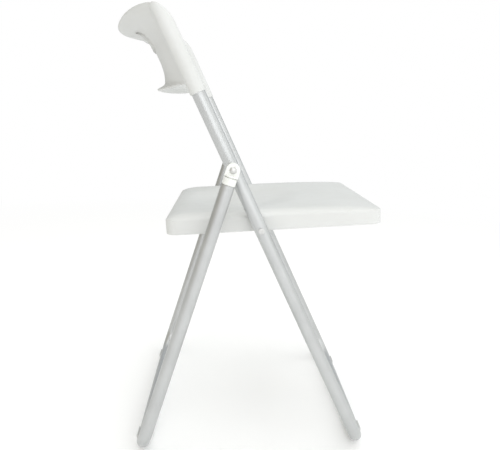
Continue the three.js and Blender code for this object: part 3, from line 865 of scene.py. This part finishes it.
def panel_point(across, up):
    sweep, middle_rise, side_rise = smooth_curve(panel_profile, up)
    power = panel_low_rise_power + (panel_high_rise_power - panel_low_rise_power) * up
    bow = abs(across) ** panel_sweep_power
    lift = abs(across) ** power
    return np.array((-(sweep + (panel_edge_sweep - sweep) * bow),
                     across * (front_half_width - panel_edge_inset),
                     middle_rise + (side_rise - middle_rise) * lift))


def panel_normal(across, up, probe=0.001):
    low, high = max(up - probe, 0), min(up + probe, 1)
    along_up = panel_point(across, high) - panel_point(across, low)
    along_across = panel_point(across + probe, up) - panel_point(across - probe, up)
    normal = np.cross(along_across, along_up)
    return normal / np.linalg.norm(normal)


# %% Layers of the panel
panel_columns = 110
panel_rows = 60


def panel_layer(name, rear_depth, front_depth, start=0.0, stop=1.0):
    """The part of the panel between two depths, measured forwards from its middle surface."""
    rings = []
    for across in np.sin(np.linspace(-math.pi / 2, math.pi / 2, panel_columns + 1)):
        front = []
        rear = []
        for up in np.linspace(start, stop, panel_rows + 1):
            place = panel_point(across, up)
            normal = panel_normal(across, up)
            front.append(place + normal * front_depth)
            rear.append(place + normal * rear_depth)
        rings.append(front + rear[::-1])
    count = len(rings[0])
    vertices = [point for ring_points in rings for point in ring_points]
    faces = strip_faces(len(rings), count)
    for row in (0, len(rings) - 1):
        for index in range(panel_rows):
            mirror = count - 1 - index
            faces.append((row * count + index, row * count + index + 1,
                          row * count + mirror - 1, row * count + mirror))
    return face_outwards(new_object(name, vertices, faces))


# %% [markdown]
# The hand hole is cut straight through the panel. Its outline has small corners below and larger
# ones above, and it has a thin rim behind the panel: the rim's rear edge is level with the panel at
# mid width, so it stands out at the ends of the hole, where the panel curves forwards.

# %% Hand hole and rim
hand_hole_bottom_rise = 230
hand_hole_top_rise = 266
hand_hole_width = 150
hand_hole_bottom_corner = 9
hand_hole_top_corner = 14
rim_wall = 2.5
rim_inset = 0.5
rim_reach = 16
rim_start = 0.4
rim_stop = 0.95


def rounded_plan(low, high, half, low_round, high_round, corner_steps=14, edge_steps=1):
    """A rectangle with round corners, between two places along and even across, as equal stretches."""
    corners = [
        (high - high_round, half - high_round, high_round, 0),
        (low + low_round, half - low_round, low_round, 1),
        (low + low_round, low_round - half, low_round, 2),
        (high - high_round, high_round - half, high_round, 3),
    ]
    points = []
    for number, (x, y, radius, quarter) in enumerate(corners):
        turn = quarter * math.pi / 2
        points += arc(x, y, radius, turn, turn + math.pi / 2, corner_steps)
        next_x, next_y, next_radius, next_quarter = corners[(number + 1) % 4]
        start = np.array(points[-1])
        begin = next_quarter * math.pi / 2
        stop = np.array((next_x + next_radius * math.cos(begin), next_y + next_radius * math.sin(begin)))
        points += [tuple(start + (stop - start) * k / edge_steps) for k in range(1, edge_steps)]
    return np.array(points)


def hand_hole(margin):
    """The hole as a prism through the panel, grown by a margin."""
    outline = rounded_plan(hand_hole_bottom_rise - margin, hand_hole_top_rise + margin,
                           hand_hole_width / 2 + margin, hand_hole_bottom_corner + margin,
                           hand_hole_top_corner + margin)
    depth = panel_depth + panel_thickness
    return prism("hand_hole", [(-depth, y, z) for z, y in outline], [(0, y, z) for z, y in outline])


def hand_hole_rim():
    places = [panel_point(0, up) + panel_normal(0, up) * (rim_inset - panel_thickness / 2)
              for up in np.linspace(rim_start, rim_stop, panel_rows)]
    outline = [(0, places[0][2])] + [(x, z) for x, y, z in places] + [(0, places[-1][2])]
    wall = plate("rim", outline, -hand_hole_width, hand_hole_width)
    boolean(wall, hand_hole(rim_wall), "INTERSECT")
    return boolean(wall, panel_layer("layer", -rim_reach, 0, rim_start, rim_stop), "INTERSECT")


# %% Sleeves and the whole moulding
mould_voxel = 1.35
panel_smoothing = 8
sleeve_smoothing = 5
smoothing_share = 0.5
sleeve_round_steps = 32
sleeve_segments = 96
bore_segments = 64


def upright_post(radius, bottom, top, y, segments):
    piece = turned("post", [(radius, bottom), (radius, top)], segments)
    piece.data.transform(Matrix.Translation((0, y, 0)) @ Matrix.Rotation(math.pi / 2, 4, "X"))
    return piece


def sleeve(y):
    """A post whose front is rounded back towards its top."""
    reach = sleeve_radius + cut_overrun
    round_x = sleeve_radius - sleeve_top_round_depth
    round_z = sleeve_top_rise - sleeve_top_round_height
    angles = np.linspace(0, math.pi / 2, sleeve_round_steps + 1)[1:]
    outline = [(-reach, sleeve_bottom_rise), (reach, sleeve_bottom_rise), (reach, round_z)]
    outline += [(round_x + sleeve_top_round_depth * math.cos(a),
                 round_z + sleeve_top_round_height * math.sin(a)) for a in angles]
    outline.append((-reach, sleeve_top_rise))
    slab = plate("slab", outline, y - reach, y + reach)
    post = upright_post(sleeve_radius, sleeve_bottom_rise - cut_overrun, sleeve_top_rise + cut_overrun,
                        y, sleeve_segments)
    return boolean(post, slab, "INTERSECT")


def remeshed(piece, voxel, smoothing):
    step = piece.modifiers.new("remesh", "REMESH")
    step.mode = "VOXEL"
    step.voxel_size = voxel
    soften = piece.modifiers.new("smooth", "SMOOTH")
    soften.factor = smoothing_share
    soften.iterations = smoothing
    return bake(piece)


def backrest():
    shell = panel_layer("backrest", -panel_thickness / 2, panel_thickness / 2)
    remeshed(shell, mould_voxel, panel_smoothing)
    boolean(shell, hand_hole_rim(), "UNION")
    boolean(shell, hand_hole(0), "DIFFERENCE")
    for side in (1, -1):
        boolean(shell, remeshed(sleeve(side * front_half_width), mould_voxel, sleeve_smoothing), "UNION")
    for side in (1, -1):
        y = side * front_half_width
        inside = side * (front_half_width - sleeve_radius - cut_overrun)
        bore = upright_post(tube_radius + gap, sleeve_bottom_rise - cut_overrun, tube_top_rise + gap,
                            y, bore_segments)
        boolean(shell, bore, "DIFFERENCE")
        boolean(shell, pin(screw_radius + hole_clearance, inside, y, z=screw_rise), "DIFFERENCE")
    return shell


back = backrest()
finish_piece(back, front_axes, white_plastic, "front_frame", ["backrest"])

# %% [markdown]
# Two small screws hold the sleeves on the tubes, out of sight on the inside. A pan head is a
# shallow dome on a short edge, and the recess for the driver is a cross of two thin plates.

# %% Backrest screws
screw_head_radius = 3.5
screw_head_height = 1.8
screw_head_edge = 0.5
screw_length = 8
screw_tip_radius = 0.1
screw_segments = 32
recess_length = 3.6
recess_width = 0.7
recess_depth = 1.0


def screw():
    face = -sleeve_radius - gap
    crown = dome(screw_head_radius, screw_head_height - screw_head_edge, screw_head_edge)
    profile = [(radius, face - height) for radius, height in crown][::-1]
    profile += [(screw_head_radius, face), (screw_radius, face),
                (screw_radius, face + screw_length - screw_radius), (screw_tip_radius, face + screw_length)]
    piece = turned("screw", profile, screw_segments)
    top = face - screw_head_height
    outline = rectangle(-recess_length / 2, -recess_width / 2, recess_length / 2, recess_width / 2)
    for turn in (0, math.pi / 2):
        cross = plate("cross", outline, top - cut_overrun, top + recess_depth)
        cross.data.transform(Matrix.Rotation(turn, 4, "Y"))
        boolean(piece, cross, "DIFFERENCE")
    return piece


screw_axes = front_axes @ Matrix.Translation((0, 0, screw_rise))
backrest_screws = pair("backrest_screws", screw(), front_half_width)
finish_piece(backrest_screws, screw_axes, fitting_steel, "front_frame",
             both("backrest_screw"))

# %% [markdown]
# ## The seat
#
# The seat is a thin shell with a deep edge all round, a low crown and a broad dish. Its top is a
# height for each place on the plan: three quarter-ellipses lift the crown from the sides, the rear
# and the front, and a smooth step takes the dish out of it. Because the plan is a rectangle with
# round corners, the skin is lofted in rings: from the middle out to the edge, over it, down the
# outside, round the lower lip, and back up inside to the middle.

# %% Seat shape
seat_front_reach = 206
seat_rear_reach = 158.5
seat_front_corner = 18
seat_rear_corner = 20
band_bottom = -4.7
band_top = 18.3
seat_wall = 3
crown_height = 10.8
side_shoulder = 26
rear_shoulder = 40
front_shoulder = 220
dish_depth = 7
dish_centre = -25
dish_half_length = 118
dish_side_margin = 29.5
dish_half_width = seat_half_width - dish_side_margin
dish_flat_share = 0.45
seat_centre_x = (seat_front_reach - seat_rear_reach) / 2
lip_round = 1.2
edge_steps = 26
band_steps = 8
lip_steps = 6


def seat_top(x, y):
    def shoulder(share):
        return np.sqrt(1 - (1 - np.clip(share, 0, 1)) ** 2)
    side = shoulder((seat_half_width - np.abs(y)) / side_shoulder)
    rear = shoulder((x + seat_rear_reach) / rear_shoulder)
    front = shoulder((seat_front_reach - x) / front_shoulder)
    reach = np.hypot((x - dish_centre) / dish_half_length, y / dish_half_width)
    step = np.clip((reach - dish_flat_share) / (1 - dish_flat_share), 0, 1)
    return band_top + crown_height * side * rear * front - dish_depth * (1 - step * step * (3 - 2 * step))


def seat_plan(inset):
    return rounded_plan(inset - seat_rear_reach, seat_front_reach - inset, seat_half_width - inset,
                        seat_rear_corner - inset, seat_front_corner - inset, edge_steps=edge_steps)


def seat_rings(inset, drop, count):
    """Rings from near the middle to the edge, closer together towards the edge where it bends."""
    edge = seat_plan(inset)
    centre = np.array((seat_centre_x, 0.0))
    rings = []
    for share in np.sin(np.linspace(0, math.pi / 2, count + 1))[1:]:
        flat = centre + (edge - centre) * share
        rings.append(np.column_stack([flat, seat_top(flat[:, 0], flat[:, 1]) - drop]))
    return rings


def seat_ring(inset, height):
    edge = seat_plan(inset)
    return np.column_stack([edge, np.full(len(edge), height)])


def seat_lip():
    """Rings over the edge: down the band's outside, round the lower lip, and up inside."""
    lip_top = band_bottom + lip_round
    quarter = [(lip_round * (1 - math.cos(a)), lip_top - lip_round * math.sin(a))
               for a in np.linspace(0, math.pi / 2, lip_steps + 1)]
    rings = [(0, height) for height in np.linspace(band_top, lip_top, band_steps + 1)[1:]]
    rings += quarter[1:]
    rings += [(seat_wall - inset, height) for inset, height in quarter[::-1]]
    return [seat_ring(inset, height) for inset, height in rings]


# %% [markdown]
# Under the seat, ribs run both ways to stiffen the thin top, and four lugs thicken the band where
# the pivot rivets and the slide rod pass. A rib's upper edge follows the top at half the wall, so
# it sinks into the shell and never shows above. One tree sets the ribs: it repeats a plate along a
# line of places, and the plates are then trimmed by a solid that is the seat drawn in by half its
# wall.

# %% Seat ribs
rib_thickness = 2.5
rib_bottom = 7
rib_along_shares = np.array([0.09, 0.325, 0.56, 0.79])
rib_across_shares = np.array([-0.35, 0.35])
rib_places_along = rib_along_shares * (seat_front_reach + seat_rear_reach) - seat_rear_reach
rib_places_across = rib_across_shares * seat_half_width
rib_reach = 400
core_rings = 30


def rib_tree():
    tree, given, result = new_tree("ribs", [
        ("Thickness", "NodeSocketFloat"),
        ("Length", "NodeSocketFloat"),
        ("Height", "NodeSocketFloat"),
        ("Material", "NodeSocketMaterial"),
    ])
    size = add_node(tree, "ShaderNodeCombineXYZ", X=given["Thickness"], Y=given["Length"], Z=given["Height"])
    bar = add_node(tree, "GeometryNodeMeshCube", Size=size.outputs["Vector"])
    copies = add_node(tree, "GeometryNodeInstanceOnPoints", Points=given["Geometry"],
                      Instance=bar.outputs["Mesh"])
    return end_tree(tree, copies.outputs["Instances"], given["Material"], result)


ribs_tree = rib_tree()


def seat_core():
    """The seat drawn in by half its wall, down to the ribs' lower edges."""
    inset = seat_wall / 2
    return skin("core", [seat_ring(inset, rib_bottom)] + seat_rings(inset, inset, core_rings)[::-1])


def rib_set(places, turn):
    height = band_top + crown_height
    middle = rib_bottom - cut_overrun + height / 2
    piece = new_object("ribs", [(place, 0, middle) for place in places], [])
    run_tree(piece, ribs_tree, thickness=rib_thickness, length=rib_reach, height=height,
             material=white_plastic)
    piece.data.transform(Matrix.Rotation(turn, 4, "Z"))
    return boolean(piece, seat_core(), "INTERSECT")


lug_radius = 9
lug_top = 16
lug_recess = 0.1
lug_steps = 28
top_rings = 44
inner_rings = 34


def lug(side, x):
    outline = arc(x, 0, lug_radius, math.pi, 2 * math.pi, lug_steps)
    outline += [(x + lug_radius, lug_top), (x - lug_radius, lug_top)]
    return plate("lug", outline, side * lug_inner_face, side * (seat_half_width - lug_recess))


def seat():
    under = seat_rings(seat_wall, seat_wall, inner_rings)[::-1]
    shell = skin("seat", seat_rings(0, 0, top_rings) + seat_lip() + under)
    boolean(shell, rib_set(rib_places_along, 0), "UNION")
    boolean(shell, rib_set(rib_places_across, math.pi / 2), "UNION")
    for side in (1, -1):
        start, stop = side * (lug_inner_face - cut_overrun), side * (seat_half_width + cut_overrun)
        for x, bore in ((0, rivet_bore), (-rod_spacing, rod_radius + hole_clearance)):
            boolean(shell, lug(side, x), "UNION")
            boolean(shell, pin(bore, start, stop, x=x), "DIFFERENCE")
    return shell


seat_piece = seat()
finish_piece(seat_piece, seat_axes, white_plastic, "seat", ["seat"])

# %% [markdown]
# ## The slide rod and its fittings
#
# The rod under the rear of the seat passes through both lugs and ends inside the rear tubes. A
# nylon bush on each end runs in the tube's slot, and a snap ring in a groove beside each lug keeps
# the rod from wandering sideways.

# %% Slide rod, bushes and clips
rod_end_inset = 5
bush_flange_radius = 6.5
clip_thickness = 1.3
clip_radius = 6.5
clip_groove = 0.8
clip_mouth = math.radians(70)
clip_round = 0.2
clip_steps = 40
rod_end = rear_half_width - rod_end_inset
rod_axes = seat_axes @ Matrix.Translation((-rod_spacing, 0, 0))
clip_outer_face = lug_inner_face - gap
clip_inner_face = clip_outer_face - clip_thickness


def slide_rod():
    groove_radius = rod_radius - clip_groove
    half = [(rod_radius, 0), (rod_radius, clip_inner_face - gap), (groove_radius, clip_inner_face - gap),
            (groove_radius, clip_outer_face + gap), (rod_radius, clip_outer_face + gap),
            (rod_radius, rod_end - chamfer * 2), (rod_radius - chamfer * 2, rod_end)]
    mirrored = [(radius, -place) for radius, place in half[:0:-1]]
    return turned("slide_rod", mirrored + half)


rod = slide_rod()
finish_piece(rod, rod_axes, fitting_steel, "seat", ["slide_rod"])


def bush():
    flange_start, flange_stop = front_outer_face + gap, rear_inner_face - gap
    bore = rod_radius + hole_clearance
    start, face, stop = (place - rear_half_width for place in (flange_start, flange_stop, rod_end))
    body = boolean(pin(bush_flange_radius, start, face), pin(bush_radius, start + chamfer, stop), "UNION")
    return boolean(body, pin(bore, start - cut_overrun, stop + cut_overrun), "DIFFERENCE")


slot_bushes = pair("slot_bushes", bush(), rear_half_width)
finish_piece(slot_bushes, rod_axes, pale_nylon, "seat", both("slot_bush"))


def clip():
    start, stop = -math.pi / 2 + clip_mouth / 2, 3 * math.pi / 2 - clip_mouth / 2
    outline = open_ring(clip_radius, rod_radius - clip_groove + gap, start, stop, clip_steps)
    piece = plate("clip", outline, clip_inner_face - lug_inner_face, clip_outer_face - lug_inner_face)
    return bevelled(piece, clip_round)


rod_clips = pair("rod_clips", clip(), lug_inner_face)
finish_piece(rod_clips, rod_axes, fitting_steel, "seat", both("rod_clip"))

# %% [markdown]
# ## Glides
#
# A glide is a plastic clip that snaps on the floor bar just inside its bend and stands on a flat
# sole. Its section is a C round the tube over a small block, the same on both frames, and its long
# edges are rounded so that it slides without catching.

# %% Glides
glide_length = 24
glide_sole_width = 18
glide_sole_height = 8
glide_mouth = math.radians(140)
glide_bend_gap = 1
glide_round = 0.6
glide_steps = 48
glide_bore_segments = 96


def glide():
    outer_radius, inner_radius = tube_radius + sole_thickness, tube_radius + gap
    start, stop = glide_mouth / 2 - 3 * math.pi / 2, math.pi / 2 - glide_mouth / 2
    section = open_ring(outer_radius, inner_radius, start, stop, glide_steps)
    body = plate("glide", section, -glide_length, 0)
    half = glide_sole_width / 2
    outline = rectangle(-half, -foot_axis_height, half, glide_sole_height - foot_axis_height)
    boolean(body, plate("block", outline, -glide_length, 0), "UNION")
    bore = pin(inner_radius, -glide_length - cut_overrun, cut_overrun, segments=glide_bore_segments)
    boolean(body, bore, "DIFFERENCE")
    return bevelled(body, glide_round)


for node, half_width, axes, body_name in (
    ("front_glide", front_half_width, front_foot_axes, "front_frame"),
    ("rear_glide", rear_half_width, rear_foot_axes, "rear_frame"),
):
    glides = pair(f"{node}s", glide(), half_width - bend_radius - glide_bend_gap)
    finish_piece(glides, axes, white_plastic, body_name, both(node))

# %% [markdown]
# ## Floor, light and background
#
# The chair stands in a bright plain studio. The floor is a wide pale disc that turns into the same
# white as the background before it ends, so no horizon shows. Four broad lights stand beside the
# camera, at the chair's front corner, overhead and in front of the seat. They give each side of the
# mouldings a tone of its own and the tubes soft bright lines.

# %% Studio
floor_radius = 8.0
floor_sides = 96
fade_start = 0.9
fade_stop = 2.6
floor_lift = 0.1
background_white = (1.0, 1.0, 1.0, 1.0)
light_target = Vector((0, 0, 0.4))
light_colour = (0.93, 0.97, 1.0)


def floor_material():
    material = new_material("studio_floor")
    tree = material.node_tree
    place = object_coordinates(tree)
    distance = add_in_order(tree, "ShaderNodeVectorMath", [place], "LENGTH").outputs["Value"]
    fade = ranged(tree, distance, 0.0, 1.0, fade_start, fade_stop)
    grain = ranged(tree, noise(tree, place, 30.0, 3.0), 0.0, 1.0, 0.3, 0.7)
    colour = mixed_colour(tree, grain, (0.93, 0.93, 0.93), (0.92, 0.92, 0.92))
    matt = add_node(tree, "ShaderNodeBsdfDiffuse", Color=colour)
    lift = add_node(tree, "ShaderNodeEmission", Color=background_white, Strength=floor_lift)
    lifted = add_in_order(tree, "ShaderNodeAddShader", (matt.outputs["BSDF"], lift.outputs["Emission"]))
    glow = add_node(tree, "ShaderNodeEmission", Color=background_white)
    shaders = (fade, lifted.outputs["Shader"], glow.outputs["Emission"])
    blend = add_in_order(tree, "ShaderNodeMixShader", shaders)
    add_node(tree, "ShaderNodeOutputMaterial", Surface=blend.outputs["Shader"])
    return material


def studio_floor():
    rim = [(x, y, 0) for x, y in arc(0, 0, floor_radius, 0, 2 * math.pi, floor_sides)[:-1]]
    piece = new_object("studio_floor", rim, [tuple(range(len(rim)))])
    piece.data.materials.append(floor_material())
    return piece


def area_light(name, place, size, power):
    data = bpy.data.lights.new(name, "AREA")
    data.size = size
    data.energy = power
    data.color = light_colour
    lamp = bpy.data.objects.new(name, data)
    lamp.location = place
    lamp.rotation_euler = (light_target - Vector(place)).to_track_quat("-Z", "Y").to_euler()
    bpy.context.scene.collection.objects.link(lamp)
    print(name, power, "W")
    return lamp


studio_floor()
area_light("key_light", (0.3, -2.6, 1.5), 2.0, 18)
area_light("front_side_fill", (1.9, -1.9, 1.3), 1.6, 8)
area_light("top_light", (0, 0, 2.7), 2.4, 17)
area_light("front_light", (2.5, 0.3, 1.5), 1.6, 6)

# %% [markdown]
# The room itself gives much of the light. It is brightest on the camera's side and overhead, and
# dimmer and a little warmer behind the chair, which gives the rear of the backrest its tone. Each
# side of the room is a soft lobe: the square of how far a direction points that way. The camera
# sees plain white instead, so the background stays even.

# %% Room light
room_light = [
    ((1, 0, 0), (0.8, 0.8, 0.77)),
    ((-1, 0, 0), (0.36, 0.33, 0.24)),
    ((0, 1, 0), (0.52, 0.57, 0.62)),
    ((0, -1, 0), (1.04, 1.01, 0.99)),
    ((0, 0, 1), (0.97, 0.96, 0.93)),
]


def room(name, sides):
    world = bpy.data.worlds.new(name)
    world.use_nodes = True
    tree = world.node_tree
    tree.nodes.clear()
    direction = add_node(tree, "ShaderNodeTexCoord").outputs["Generated"]
    total = add_node(tree, "ShaderNodeBackground", Strength=0.0).outputs["Background"]
    for axis, colour in sides:
        facing = add_in_order(tree, "ShaderNodeVectorMath", (direction, axis), "DOT_PRODUCT")
        front = add_in_order(tree, "ShaderNodeMath", (facing.outputs["Value"], 0.0), "MAXIMUM")
        share = front.outputs["Value"]
        lobe = add_in_order(tree, "ShaderNodeMath", (share, share), "MULTIPLY")
        glow = add_node(tree, "ShaderNodeBackground", Color=(*colour, 1), Strength=lobe.outputs["Value"])
        joined = add_in_order(tree, "ShaderNodeAddShader", (total, glow.outputs["Background"]))
        total = joined.outputs["Shader"]
    seen = add_node(tree, "ShaderNodeBackground", Color=background_white).outputs["Background"]
    ray = add_node(tree, "ShaderNodeLightPath").outputs["Is Camera Ray"]
    choice = add_in_order(tree, "ShaderNodeMixShader", (ray, total, seen))
    add_node(tree, "ShaderNodeOutputWorld", Surface=choice.outputs["Shader"])
    print("room of", len(sides), "soft sides")
    return world


bpy.context.scene.world = room("studio", room_light)
bpy.context.scene.view_settings.view_transform = "Standard"
